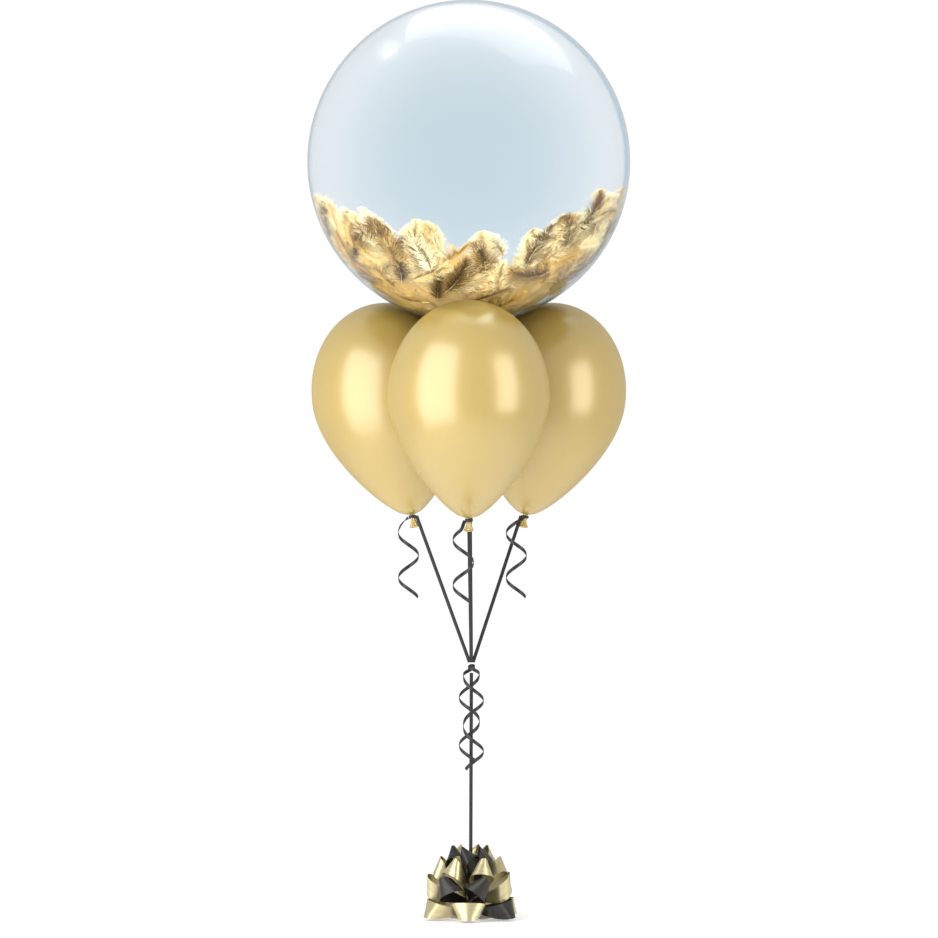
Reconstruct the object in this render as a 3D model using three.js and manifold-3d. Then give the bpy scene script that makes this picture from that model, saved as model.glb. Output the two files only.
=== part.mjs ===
// A balloon bouquet: a clear bubble balloon resting on three pearl-gold latex balloons, tied by curling
// ribbon to one knot and held down by a gold and black gift bow. Millimetres, +Z up, front towards -Y.
// The origin is the middle of the underside of the bow's base, where the bouquet stands.
import * as THREE from "three";
import { ParametricGeometry } from "three/addons/geometries/ParametricGeometry.js";
import { mergeVertices } from "three/addons/utils/BufferGeometryUtils.js";
import Module from "manifold-3d";

const wasm = await Module();
wasm.setup();

// Clear bubble balloon: a stretched sphere gathered into a tied neck with a short tail of film.
const BUBBLE_RADIUS = 277.5;
const BUBBLE_CENTRE = new THREE.Vector3(-3, -5, 1301);
const BUBBLE_NECK_RADIUS = 6;
const BUBBLE_NECK_DEPTH = 36;
const BUBBLE_TAIL_LENGTH = 34;
const BUBBLE_SHOULDER = THREE.MathUtils.degToRad(15);

// Gold latex balloons: a pear on a tied neck, three of them leaning out round one middle.
const GOLD_RADIUS = 136.5;
const GOLD_TOP = 163;
const GOLD_BODY = 210;
const GOLD_PINCH = 0.41;
const GOLD_PINCH_POWER = 1.67;
const GOLD_NECK_RADIUS = 4;
const GOLD_LIP_RADIUS = 8;
const GOLD_NECK_LENGTH = 23;
const GOLD_TIE_DROP = 4.5;
const GOLD_LEAN = THREE.MathUtils.degToRad(12);
const CLUSTER_RADIUS = 156.8;
const CLUSTER_X = -3;
const CLUSTER_Z = 900;
const GOLD_BALLOONS = [
  { side: "front", turn: -90, drop: 4 },
  { side: "left", turn: 150, drop: 0 },
  { side: "right", turn: 30, drop: 0 },
];

// Curling ribbon, and the knot where all of it meets.
const RIBBON_WIDTH = 6;
const RIBBON_THICKNESS = 0.6;
const WRAP_GAP = 0.3;
const WRAP_THICKNESS = 4;
const WRAP_HEIGHT = 6;
const KNOT_CENTRE = new THREE.Vector3(1.5, 0, 432);
const KNOT_RADII = new THREE.Vector3(7, 6, 9);
const KNOT_REACH = 9.4;

// Curled ribbon tails. One hangs by each gold neck, and its solid is the cylinder that its curls fill.
const CURL_RADIUS = 20;
const CURLED_TAILS = [
  { name: "curled_tail_front", x: -12.3, y: -142, top: 662, bottom: 545 },
  { name: "curled_tail_left", x: -107.4, y: 62, top: 668, bottom: 550 },
  { name: "curled_tail_right", x: 79.5, y: 18, top: 676, bottom: 550 },
];

// Two more tails twine round the long ribbon under the knot. The cylinder that they fill is shared
// between them as a front and a back half, and the long ribbon runs down the bore.
const TWINE_X = 1.5;
const TWINE_RADIUS = 23;
const TWINE_BORE = 4;
const TWINE_TOP = 421;
const TWINED_TAILS = [
  { name: "curled_tail_knot_long", turn: 180, bottom: 253 },
  { name: "curled_tail_knot_short", turn: 0, bottom: 270 },
];

// Gift bow: loops of wide ribbon in four tiers over a flat round base. A tier's loops start from its
// height on the middle line and out from it, and rise at its angle. first is the turn of its first loop
// from the front, colours names them in order, G for gold and B for black, and rolls turns each about
// its own length. A positive flare narrows a loop's upper edge and a negative one its lower edge, and
// skew is how much further the narrower edge reaches out.
const BASE_RADIUS = 36;
const BASE_THICKNESS = 2.5;
const LOOP_THICKNESS = 1;
const LOOP_START = 9;
const LOOP_PINCH = 0.9;
const LOOP_STEPS = 12;
const TIERS = [
  {
    name: "bottom", colours: "GBGBGG", first: -3, rolls: [0, 8, -6, 6, -8, -7],
    height: 13.5, out: 0, rise: 4, length: 74, width: 46, strip: 30, flare: -0.28, skew: 0.05,
  },
  {
    name: "second", colours: "BGGBGGB", first: 14, rolls: [-42, 34, 10, -24, 10, -30, 28],
    height: 27, out: 0, rise: 25, length: 73, width: 34, strip: 30, flare: 0.35, skew: 0.08,
  },
  {
    name: "third", colours: "GGBGGG", first: 25, rolls: [-12, -22, 0, -20, -14, -18],
    height: 38, out: 3, rise: 46, length: 69, width: 30, strip: 28, flare: 0.42, skew: 0.08,
  },
  {
    name: "top", colours: "BBGGGB", first: -8, rolls: [60, 55, 50, 60, 50, 60],
    height: 50, out: 8, rise: 70, length: 62, width: 25, strip: 24, flare: 0.5, skew: 0.12,
  },
];

const bubbleFilm = new THREE.MeshStandardMaterial({ color: 0xdce9f2, roughness: 0.05, metalness: 0 });
const goldLatex = new THREE.MeshStandardMaterial({ color: 0xd6b760, roughness: 0.3, metalness: 0.5 });
const curlingRibbon = new THREE.MeshStandardMaterial({ color: 0x1c1c1c, roughness: 0.4, metalness: 0 });
const goldRibbon = new THREE.MeshStandardMaterial({ color: 0xd6ca96, roughness: 0.3, metalness: 0.7 });
const blackRibbon = new THREE.MeshStandardMaterial({ color: 0x26241f, roughness: 0.35, metalness: 0.4 });
const baseCard = new THREE.MeshStandardMaterial({ color: 0xe8e6e0, roughness: 0.7, metalness: 0 });

// A solid of revolution about Z from points (radius, height) that run from its foot to its crown.
function turned(points, segments) {
  return new THREE.LatheGeometry(points, segments).rotateX(Math.PI / 2);
}

// The geometry, moved by matrix, as a closed solid for joining.
function solid(geometry, matrix = new THREE.Matrix4()) {
  const bare = geometry.clone();
  bare.deleteAttribute("normal");
  bare.deleteAttribute("uv");
  bare.applyMatrix4(matrix);
  const merged = mergeVertices(bare, 1e-3);
  return new wasm.Manifold(new wasm.Mesh({
    numProp: 3,
    vertProperties: merged.attributes.position.array,
    triVerts: new Uint32Array(merged.index.array),
  }));
}

function geometryOf(joined) {
  const mesh = joined.getMesh();
  const geometry = new THREE.BufferGeometry();
  geometry.setAttribute("position", new THREE.BufferAttribute(mesh.vertProperties, 3));
  geometry.setIndex(new THREE.BufferAttribute(mesh.triVerts, 1));
  geometry.computeVertexNormals();
  return geometry;
}

function named(name, geometry, material) {
  const mesh = new THREE.Mesh(geometry, material);
  mesh.name = name;
  return mesh;
}

// The sphere from its shoulder angle up to the crown; below the shoulder the film is gathered along a
// smooth curve into the neck, and a short flaring tail hangs under the tie.
function bubbleProfile() {
  const neckZ = -BUBBLE_RADIUS - BUBBLE_NECK_DEPTH + 12;
  const shoulder = new THREE.Vector2(
    BUBBLE_RADIUS * Math.sin(BUBBLE_SHOULDER),
    -BUBBLE_RADIUS * Math.cos(BUBBLE_SHOULDER),
  );
  const gather = new THREE.CubicBezierCurve(
    new THREE.Vector2(BUBBLE_NECK_RADIUS, neckZ),
    new THREE.Vector2(BUBBLE_NECK_RADIUS, neckZ + 14),
    new THREE.Vector2(shoulder.x * 0.45, shoulder.y - shoulder.x * 0.32),
    shoulder,
  );
  const points = [
    new THREE.Vector2(0, neckZ - BUBBLE_TAIL_LENGTH),
    new THREE.Vector2(BUBBLE_NECK_RADIUS + 0.8, neckZ - BUBBLE_TAIL_LENGTH),
    new THREE.Vector2(BUBBLE_NECK_RADIUS, neckZ - WRAP_HEIGHT),
    ...gather.getPoints(5),
  ];
  const rings = 19;
  for (let i = 1; i <= rings; i++) {
    const angle = BUBBLE_SHOULDER + ((Math.PI - BUBBLE_SHOULDER) * i) / rings;
    const radius = i === rings ? 0 : BUBBLE_RADIUS * Math.sin(angle);
    points.push(new THREE.Vector2(radius, -BUBBLE_RADIUS * Math.cos(angle)));
  }
  return { points, neckZ };
}

// The pear: half an ellipse above the widest circle and a pinched one below it, on the tied neck, which
// flares to the rolled lip. Heights are from the widest circle.
function goldProfile() {
  const lip = -GOLD_BODY - GOLD_NECK_LENGTH;
  const points = [
    new THREE.Vector2(0, lip),
    new THREE.Vector2(GOLD_LIP_RADIUS - 1, lip),
    new THREE.Vector2(GOLD_LIP_RADIUS, lip + 1.5),
    new THREE.Vector2(GOLD_LIP_RADIUS - 1.2, lip + 4),
    new THREE.Vector2(GOLD_NECK_RADIUS, -GOLD_BODY - 9),
    new THREE.Vector2(GOLD_NECK_RADIUS, -GOLD_BODY + 1),
  ];
  const low = 9;
  for (let i = 1; i <= low; i++) {
    const u = Math.cos((Math.PI / 2) * (i / low) ** 0.9);
    const radius = GOLD_RADIUS * Math.sqrt(1 - u * u) * (1 - GOLD_PINCH * u ** GOLD_PINCH_POWER);
    points.push(new THREE.Vector2(radius, -GOLD_BODY * u));
  }
  const high = 7;
  for (let i = 1; i <= high; i++) {
    const angle = (Math.PI / 2) * (i / high);
    const radius = i === high ? 0 : GOLD_RADIUS * Math.cos(angle);
    points.push(new THREE.Vector2(radius, GOLD_TOP * Math.sin(angle)));
  }
  return points;
}

// The place of a gold balloon's own frame: its origin on the widest circle's middle, leaning outwards.
function goldPlace({ turn, drop }) {
  return new THREE.Matrix4()
    .makeTranslation(CLUSTER_X, 0, CLUSTER_Z - drop)
    .multiply(new THREE.Matrix4().makeRotationZ(THREE.MathUtils.degToRad(turn)))
    .multiply(new THREE.Matrix4().makeTranslation(CLUSTER_RADIUS, 0, 0))
    .multiply(new THREE.Matrix4().makeRotationY(GOLD_LEAN));
}

// The flat ribbon wound round a neck, its middle at the origin.
function wrapRing(neckRadius) {
  const inner = neckRadius + WRAP_GAP;
  const outer = inner + WRAP_THICKNESS;
  const half = WRAP_HEIGHT / 2;
  return turned([
    new THREE.Vector2(inner, -half),
    new THREE.Vector2(outer, -half),
    new THREE.Vector2(outer, half),
    new THREE.Vector2(inner, half),
    new THREE.Vector2(inner, -half),
  ], 12);
}

// A taut strip from one point to another, its flat side turned to the front.
function strip(from, to) {
  const along = to.clone().sub(from);
  const length = along.length();
  const z = along.normalize();
  const x = new THREE.Vector3().crossVectors(new THREE.Vector3(0, 1, 0), z).normalize();
  const y = new THREE.Vector3().crossVectors(z, x);
  const place = new THREE.Matrix4().makeBasis(x, y, z);
  place.setPosition(from.clone().add(to).multiplyScalar(0.5));
  return solid(new THREE.BoxGeometry(RIBBON_WIDTH, RIBBON_THICKNESS, length), place);
}

// How far from a neck's middle line the strand leaves the ribbon wound round it.
function strandOffset(neckRadius) {
  return neckRadius + WRAP_GAP + WRAP_THICKNESS - RIBBON_THICKNESS / 2;
}

// A taut ribbon: wound round a neck at ringPlace, then straight to the knot from the point start.
function tautRibbon(name, ringPlace, neckRadius, start) {
  const end = start.clone().sub(KNOT_CENTRE).setLength(KNOT_REACH).add(KNOT_CENTRE);
  const joined = solid(wrapRing(neckRadius), ringPlace).add(strip(start, end));
  return named(name, geometryOf(joined), curlingRibbon);
}

// One loop of the bow, lying along +X from its pinched start: a strip on edge whose middle line is a
// teardrop of the given length and width, and which widens outwards from the pinch to its full width.
// At the pinch the two strands stand LOOP_PINCH either side of the middle line.
function loopGeometry({ length, width, strip: full, flare, skew }) {
  const middle = (t, side) => {
    const reach = (1 - Math.cos(t)) / 2;
    const out = length * reach * (1 + skew * side * Math.sign(flare) * reach);
    const swell = (width / 1.3) * Math.sin(t) * Math.sin(t / 2) ** 2 * (1 - flare * side);
    const across = swell + LOOP_PINCH * Math.cos(t / 2);
    const strand = full * (0.3 + 0.7 * reach);
    return new THREE.Vector3(LOOP_START + out, across, strand * (side / 2));
  };
  const section = [
    [-1, -1],
    [-1, 1],
    [1, 1],
    [1, -1],
    [-1, -1],
  ];
  const surface = (u, v, target) => {
    const station = Math.round(v * (LOOP_STEPS + 2));
    const inner = THREE.MathUtils.clamp(station - 1, 0, LOOP_STEPS);
    const t = 2 * Math.PI * THREE.MathUtils.lerp(0.06, 0.94, inner / LOOP_STEPS);
    const [side, face] = section[Math.round(u * 4)];
    const capped = station === 0 || station === LOOP_STEPS + 2;
    const centre = middle(t, 0);
    const edge = middle(t, 1).sub(middle(t, -1));
    const ahead = middle(t + 0.01, 0).sub(middle(t - 0.01, 0));
    const normal = new THREE.Vector3().crossVectors(edge, ahead).setLength(LOOP_THICKNESS / 2);
    target.copy(capped ? centre : middle(t, side).addScaledVector(normal, face));
  };
  return new ParametricGeometry(surface, 4, LOOP_STEPS + 2);
}

const bouquet = new THREE.Group();

const bubble = bubbleProfile();
const bubbleMesh = named("bubble_balloon", turned(bubble.points, 40), bubbleFilm);
bubbleMesh.position.copy(BUBBLE_CENTRE);
bouquet.add(bubbleMesh);

const bubbleTie = BUBBLE_CENTRE.clone().add(new THREE.Vector3(0, 0, bubble.neckZ - WRAP_HEIGHT / 2));
bouquet.add(tautRibbon(
  "ribbon_bubble",
  new THREE.Matrix4().setPosition(bubbleTie),
  BUBBLE_NECK_RADIUS,
  bubbleTie.clone().add(new THREE.Vector3(0, strandOffset(BUBBLE_NECK_RADIUS), 0)),
));

for (const balloon of GOLD_BALLOONS) {
  const place = goldPlace(balloon);
  const body = named(`gold_balloon_${balloon.side}`, turned(goldProfile(), 28), goldLatex);
  body.applyMatrix4(place);
  const tie = place.clone().multiply(new THREE.Matrix4().makeTranslation(0, 0, -GOLD_BODY - GOLD_TIE_DROP));
  const start = new THREE.Vector3(-strandOffset(GOLD_NECK_RADIUS), 0, 0).applyMatrix4(tie);
  bouquet.add(body, tautRibbon(`ribbon_${balloon.side}`, tie, GOLD_NECK_RADIUS, start));
}

const knot = named("ribbon_knot", new THREE.SphereGeometry(1, 12, 8), curlingRibbon);
knot.scale.copy(KNOT_RADII);
knot.position.copy(KNOT_CENTRE);
bouquet.add(knot);

const mainTop = KNOT_CENTRE.clone().add(new THREE.Vector3(0, 0, -KNOT_REACH));
const mainFoot = new THREE.Vector3(0, 0, BASE_THICKNESS + WRAP_GAP);
bouquet.add(named("ribbon_main", geometryOf(strip(mainTop, mainFoot)), curlingRibbon));

for (const tail of CURLED_TAILS) {
  const curl = named(
    tail.name,
    new THREE.CylinderGeometry(CURL_RADIUS, CURL_RADIUS, tail.top - tail.bottom, 12, 4),
    curlingRibbon,
  );
  curl.rotation.x = Math.PI / 2;
  curl.position.set(tail.x, tail.y, (tail.top + tail.bottom) / 2);
  bouquet.add(curl);
}

for (const tail of TWINED_TAILS) {
  const half = new THREE.Shape();
  half.absarc(0, 0, TWINE_RADIUS, 0, Math.PI);
  half.absarc(0, 0, TWINE_BORE, Math.PI, 0, true);
  const depth = TWINE_TOP - tail.bottom;
  const curl = named(
    tail.name,
    new THREE.ExtrudeGeometry(half, { depth, bevelEnabled: false, curveSegments: 8 }),
    curlingRibbon,
  );
  curl.position.y = WRAP_GAP;
  const side = new THREE.Group();
  side.rotation.z = THREE.MathUtils.degToRad(tail.turn);
  side.position.set(TWINE_X, 0, tail.bottom);
  side.add(curl);
  bouquet.add(side);
}

const base = named(
  "bow_base",
  turned([
    new THREE.Vector2(0, 0),
    new THREE.Vector2(BASE_RADIUS, 0),
    new THREE.Vector2(BASE_RADIUS, BASE_THICKNESS),
    new THREE.Vector2(0, BASE_THICKNESS),
  ], 32),
  baseCard,
);
bouquet.add(base);

for (const tier of TIERS) {
  const ribbonLoop = loopGeometry(tier);
  [...tier.colours].forEach((colour, i) => {
    const gold = colour === "G";
    const name = `${gold ? "gold" : "black"}_loop_${tier.name}_${i + 1}`;
    const loop = named(name, ribbonLoop, gold ? goldRibbon : blackRibbon);
    const roll = THREE.MathUtils.degToRad(tier.rolls[i]);
    loop.rotation.set(roll, -THREE.MathUtils.degToRad(tier.rise), 0, "YXZ");
    const arm = new THREE.Group();
    arm.rotation.z = THREE.MathUtils.degToRad(tier.first + (360 * i) / tier.colours.length - 90);
    arm.position.z = tier.height;
    loop.position.x = tier.out;
    arm.add(loop);
    bouquet.add(arm);
  });
}

export default bouquet;
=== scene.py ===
# A balloon bouquet on its gift bow: a clear bubble balloon with feathers sealed in it, three pearl-gold
# latex balloons, black curling ribbon and a gold and black bow. Metres, +Z up, front towards -Y.
import math

import bmesh
import bpy
import numpy as np
from mathutils import Matrix, Vector


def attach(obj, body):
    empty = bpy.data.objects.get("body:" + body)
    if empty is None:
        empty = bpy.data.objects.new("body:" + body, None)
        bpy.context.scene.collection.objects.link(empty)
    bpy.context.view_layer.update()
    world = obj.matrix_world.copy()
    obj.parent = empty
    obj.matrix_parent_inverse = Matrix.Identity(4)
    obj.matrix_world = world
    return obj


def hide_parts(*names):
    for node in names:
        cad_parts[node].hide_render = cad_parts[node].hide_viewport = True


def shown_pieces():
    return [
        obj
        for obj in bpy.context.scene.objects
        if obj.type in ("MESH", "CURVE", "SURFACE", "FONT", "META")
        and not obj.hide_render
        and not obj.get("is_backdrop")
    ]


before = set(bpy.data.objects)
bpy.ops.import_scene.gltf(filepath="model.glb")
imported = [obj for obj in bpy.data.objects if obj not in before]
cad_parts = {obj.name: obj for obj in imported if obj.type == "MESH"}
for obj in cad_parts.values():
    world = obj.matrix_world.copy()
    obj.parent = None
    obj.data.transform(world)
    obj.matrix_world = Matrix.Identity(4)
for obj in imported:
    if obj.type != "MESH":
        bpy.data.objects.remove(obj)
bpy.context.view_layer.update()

# Camera. The bouquet was photographed from far off, level with the gold balloons, so that its upright
# lines stay parallel. One pixel of the 938 pixel picture spans 1.72 mm at the bouquet's middle.
PIXEL = 0.00172
PICTURE_SIDE = 938
CAMERA_PLACE = (-0.0026, -8.0, 0.7731)
camera_data = bpy.data.cameras.new("camera")
camera_data.sensor_width = 36.0
camera_data.lens = 36.0 * -CAMERA_PLACE[1] / (PICTURE_SIDE * PIXEL)
camera = bpy.data.objects.new("camera", camera_data)
camera.location = CAMERA_PLACE
camera.rotation_euler = (math.radians(90), 0, 0)
bpy.context.scene.collection.objects.link(camera)
bpy.context.scene.camera = camera

# Curled ribbon tails. Each is the loose end of a black polypropylene curling ribbon, 6 mm wide, drawn over
# a blade so that it springs into a helix. One hangs at each gold neck and two twine under the knot.
RIBBON_WIDTH = 0.006
RIBBON_THICKNESS = 0.0004
RIBBON_CROWN = 0.0003
CURL_RADIUS = 0.0175
CURL_PITCH = 0.0765
NECK_TAILS = {
    "front": {"exit": (-0.0092, -0.1176, 0.6852), "axis": (-0.0123, -0.142), "first": 0.6531, "turns": 1.40,
              "lead": -1.25, "way": (-0.6, -0.3, -0.7), "pull": 1.0},
    "left": {"exit": (-0.1080, 0.0580, 0.6890), "axis": (-0.1074, 0.062), "first": 0.6613, "turns": 1.44,
             "lead": 0.4, "way": (-0.49, 0.81, -0.32), "pull": 1.5},
    "right": {"exit": (0.0898, 0.0490, 0.6885), "axis": (0.0790, 0.018), "first": 0.6619, "turns": 1.43,
              "lead": -1.25, "way": (-0.6, -0.3, -0.7), "pull": 1.0},
}
KNOT_TAILS = {
    "long": {"side": -1, "first": 0.4184, "pitch": 0.0875, "turns": 1.86},
    "short": {"side": 1, "first": 0.4207, "pitch": 0.0820, "turns": 1.82},
}
KNOT_PLACE = (0.0015, 0.0, 0.432)
KNOT_SWING = 0.0035
KNOT_START_SHARE = 0.42
KNOT_START_RISE = 0.0105


def grid_mesh(name, points, uv=None, around=True, capped=True):
    """A mesh from rows of points: four-sided faces between neighbouring rows and columns, back to the
    first column if around, and one face over each end if capped. uv has one more column if around."""
    rows, columns = points.shape[:2]
    spans = columns if around else columns - 1
    i, j = np.meshgrid(np.arange(rows - 1), np.arange(spans), indexing="ij")
    corner_row = np.stack([i, i, i + 1, i + 1], axis=-1).reshape(-1, 4)
    corner_column = np.stack([j, j + 1, j + 1, j], axis=-1).reshape(-1, 4)
    faces = (corner_row * columns + corner_column % columns).tolist()
    if capped:
        faces.append(list(range(columns))[::-1])
        faces.append(list(range((rows - 1) * columns, rows * columns)))
    mesh = bpy.data.meshes.new(name)
    mesh.from_pydata(points.reshape(-1, 3), [], faces)
    if uv is not None:
        corners = uv[corner_row, corner_column].reshape(-1, 2)
        if capped:
            corners = np.concatenate([corners, uv[0, :columns][::-1], uv[-1, :columns]])
        mesh.uv_layers.new(name="UVMap").data.foreach_set("uv", corners.ravel())
    return mesh


def finished(name, mesh, material, replaced=None, sharp=40):
    """The mesh as a piece of the object: outward faces, smooth apart from edges sharper than the angle
    given in degrees, riding on the bouquet, and standing for its CAD node."""
    shape = bmesh.new()
    shape.from_mesh(mesh)
    bmesh.ops.remove_doubles(shape, verts=shape.verts, dist=1e-7)
    if shape.calc_volume(signed=True) < 0:
        bmesh.ops.reverse_faces(shape, faces=shape.faces)
    shape.to_mesh(mesh)
    shape.free()
    mesh.shade_smooth()
    mesh.set_sharp_from_angle(angle=math.radians(sharp))
    mesh.materials.append(material)
    made = bpy.data.objects.new(name, mesh)
    bpy.context.scene.collection.objects.link(made)
    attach(made, "root")
    if replaced:
        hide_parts(replaced)
    return made


def unit(vectors):
    return vectors / np.linalg.norm(vectors, axis=-1, keepdims=True)


def strip_points(path, outward, width, thickness, crown=0.0):
    """A flat strip carried along a path. Its section lies across the path, square to outward: five points
    over the top, raised by the crown times one minus the square of the place across, and five below."""
    along = unit(np.gradient(path, axis=0))
    face = unit(outward - along * np.sum(outward * along, axis=1, keepdims=True))
    across = np.cross(along, face)
    place = np.linspace(-1, 1, 5)
    rise = crown * (1 - place ** 2)
    across_by = np.concatenate([place, place[::-1]]) * width / 2
    face_by = np.concatenate([rise + thickness / 2, rise[::-1] - thickness / 2])
    return path[:, None] + across[:, None] * across_by[:, None] + face[:, None] * face_by[:, None]


def strip_uv(path):
    """Across the strip from 0 to 1 on both faces, and along it in metres."""
    steps = np.linalg.norm(np.diff(path, axis=0), axis=1)
    along = np.concatenate([[0], np.cumsum(steps)])
    place = np.linspace(0, 1, 5)
    across = np.concatenate([place, place[::-1], [0]])
    return np.stack(np.broadcast_arrays(across[None], along[:, None]), axis=-1)


def joined(start, start_way, end, end_way, count):
    """A smooth lead between two points that leaves and arrives along the ways given: the cubic curve that
    is the sum of each point and way, each times its own Hermite polynomial."""
    s = np.linspace(0, 1, count)[:, None]
    return (
        (2 * s ** 3 - 3 * s ** 2 + 1) * start + (s ** 3 - 2 * s ** 2 + s) * start_way
        + (3 * s ** 2 - 2 * s ** 3) * end + (s ** 3 - s ** 2) * end_way
    )


def neck_tail_path(tail):
    """A lead from the neck, then a helix: the angle grows evenly as the height falls by one pitch a turn,
    and the first turning point on the left is at angle zero. The lead meets it at its own angle."""
    angle = np.linspace(tail["lead"], 2 * math.pi * tail["turns"], 74)
    axis_x, axis_y = tail["axis"]
    helix = np.stack([
        axis_x - CURL_RADIUS * np.cos(angle),
        axis_y - CURL_RADIUS * np.sin(angle),
        tail["first"] - CURL_PITCH * angle / (2 * math.pi),
    ], axis=1)
    way = (helix[1] - helix[0]) / np.linalg.norm(helix[1] - helix[0])
    start = np.array(tail["exit"])
    reach = np.linalg.norm(helix[0] - start)
    pull = tail["pull"] * reach
    lead = joined(start, np.array(tail["way"]) * pull, helix[0], way * pull, 9)
    path = np.concatenate([lead[:-1], helix])
    axis = np.broadcast_to(np.array([axis_x, axis_y]), (len(path), 2))
    outward = np.concatenate([path[:, :2] - axis, np.zeros((len(path), 1))], axis=1)
    return path, outward


def knot_tail_path(tail):
    """A helix round the long ribbon. Its radius swings between a tight loop and a wide one and grows out
    of the knot over the first quarter turn, and it falls by one pitch a turn."""
    angle = np.linspace(-math.pi / 2, 2 * math.pi * tail["turns"], 104)
    grown = np.clip(angle / (math.pi / 2) + 1, 0, 1)
    share = KNOT_START_SHARE + (1 - KNOT_START_SHARE) * np.sin(grown * math.pi / 2)
    radius = (CURL_RADIUS - KNOT_SWING * np.cos(angle)) * share
    fall = np.where(angle < 0, -KNOT_START_RISE * (1 - grown), tail["pitch"] * angle / (2 * math.pi))
    side = tail["side"]
    path = np.stack([
        KNOT_PLACE[0] + side * radius * np.cos(angle),
        KNOT_PLACE[1] + side * radius * np.sin(angle),
        tail["first"] - fall,
    ], axis=1)
    outward = path - np.array(KNOT_PLACE)
    outward[:, 2] = 0
    return path, outward


def node(tree, kind, settings=None, **inputs):
    """A shader node. A setting is one of its own properties, and an input is a link or a plain value."""
    made = tree.nodes.new(kind)
    for key, value in (settings or {}).items():
        setattr(made, key, value)
    for key, value in inputs.items():
        socket = made.inputs[int(key[1:]) if key[0] == "i" and key[1:].isdigit() else key.replace("_", " ")]
        if isinstance(value, bpy.types.NodeSocket):
            tree.links.new(value, socket)
        else:
            socket.default_value = value
    return made


def material_with(name):
    """A new material with one Principled BSDF on its output: the material, its tree and that shader."""
    made = bpy.data.materials.new(name)
    made.use_nodes = True
    tree = made.node_tree
    return made, tree, tree.nodes["Principled BSDF"]


def group_of(name, inputs, outputs):
    """An empty shader node group with named sockets, and its input and output nodes."""
    group = bpy.data.node_groups.new(name, "ShaderNodeTree")
    for label, kind in inputs:
        group.interface.new_socket(name=label, in_out="INPUT", socket_type=kind)
    for label, kind in outputs:
        group.interface.new_socket(name=label, in_out="OUTPUT", socket_type=kind)
    return group, group.nodes.new("NodeGroupInput"), group.nodes.new("NodeGroupOutput")


def use_group(tree, group, **inputs):
    return node(tree, "ShaderNodeGroup", {"node_tree": group}, **inputs)


def ribs_group():
    """Fine ribs that run along a ribbon, from its UV map: a wave of the place across, times the number of
    ribs, made uneven by noise that is stretched along the ribbon."""
    group, given, result = group_of(
        "ribbon ribs",
        [("Vector", "NodeSocketVector"), ("Ribs", "NodeSocketFloat"), ("Stretch", "NodeSocketFloat")],
        [("Height", "NodeSocketFloat"), ("Streaks", "NodeSocketFloat")],
    )
    parts = node(group, "ShaderNodeSeparateXYZ", i0=given.outputs["Vector"])
    turn = node(group, "ShaderNodeMath", {"operation": "MULTIPLY"}, i0=parts.outputs["X"],
                i1=given.outputs["Ribs"])
    angle = node(group, "ShaderNodeMath", {"operation": "MULTIPLY"}, i0=turn.outputs[0], i1=2 * math.pi)
    wave = node(group, "ShaderNodeMath", {"operation": "SINE"}, i0=angle.outputs[0])
    length = node(group, "ShaderNodeMath", {"operation": "MULTIPLY"}, i0=parts.outputs["Y"],
                  i1=given.outputs["Stretch"])
    stretched = node(group, "ShaderNodeCombineXYZ", i0=turn.outputs[0], i1=length.outputs[0])
    streaks = node(group, "ShaderNodeTexNoise", Vector=stretched.outputs[0], Scale=1.0, Detail=3.0)
    height = node(group, "ShaderNodeMath", {"operation": "MULTIPLY_ADD"}, i0=wave.outputs[0], i1=0.35,
                  i2=streaks.outputs["Fac"])
    group.links.new(height.outputs[0], result.inputs["Height"])
    group.links.new(streaks.outputs["Fac"], result.inputs["Streaks"])
    return group


ribbon_ribs = ribs_group()


def curling_ribbon_material():
    """Black polypropylene: nearly black, with fine ribs along it and a soft grey sheen off them."""
    material, tree, shader = material_with("curling ribbon")
    uv = node(tree, "ShaderNodeUVMap", {"uv_map": "UVMap"})
    ribs = use_group(tree, ribbon_ribs, Vector=uv.outputs["UV"], Ribs=9.0, Stretch=60.0)
    tone = node(tree, "ShaderNodeMapRange", Value=ribs.outputs["Streaks"], From_Min=0.35, From_Max=0.7,
                To_Min=0.0, To_Max=1.0)
    colour = node(tree, "ShaderNodeMix", {"data_type": "RGBA"}, i0=tone.outputs[0],
                  i6=(0.009, 0.009, 0.009, 1), i7=(0.03, 0.03, 0.031, 1))
    bump = node(tree, "ShaderNodeBump", Height=ribs.outputs["Height"], Strength=0.35, Distance=0.0001)
    roughness = node(tree, "ShaderNodeMapRange", Value=ribs.outputs["Streaks"], From_Min=0.3, From_Max=0.7,
                     To_Min=0.28, To_Max=0.42)
    tree.links.new(colour.outputs[2], shader.inputs["Base Color"])
    tree.links.new(bump.outputs[0], shader.inputs["Normal"])
    tree.links.new(roughness.outputs[0], shader.inputs["Roughness"])
    shader.inputs["Specular IOR Level"].default_value = 0.4
    return material


curling_ribbon = curling_ribbon_material()


def curled_tail(name, node_name, path, outward):
    """One curled tail: a strip along its path."""
    strip = strip_points(path, outward, RIBBON_WIDTH, RIBBON_THICKNESS, RIBBON_CROWN)
    mesh = grid_mesh(name, strip, strip_uv(path))
    tail = finished(name, mesh, curling_ribbon, node_name)


for side, tail in NECK_TAILS.items():
    curled_tail(f"black_curl_{side}", f"curled_tail_{side}", *neck_tail_path(tail))
for reach, tail in KNOT_TAILS.items():
    curled_tail(f"black_curl_knot_{reach}", f"curled_tail_knot_{reach}", *knot_tail_path(tail))

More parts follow.
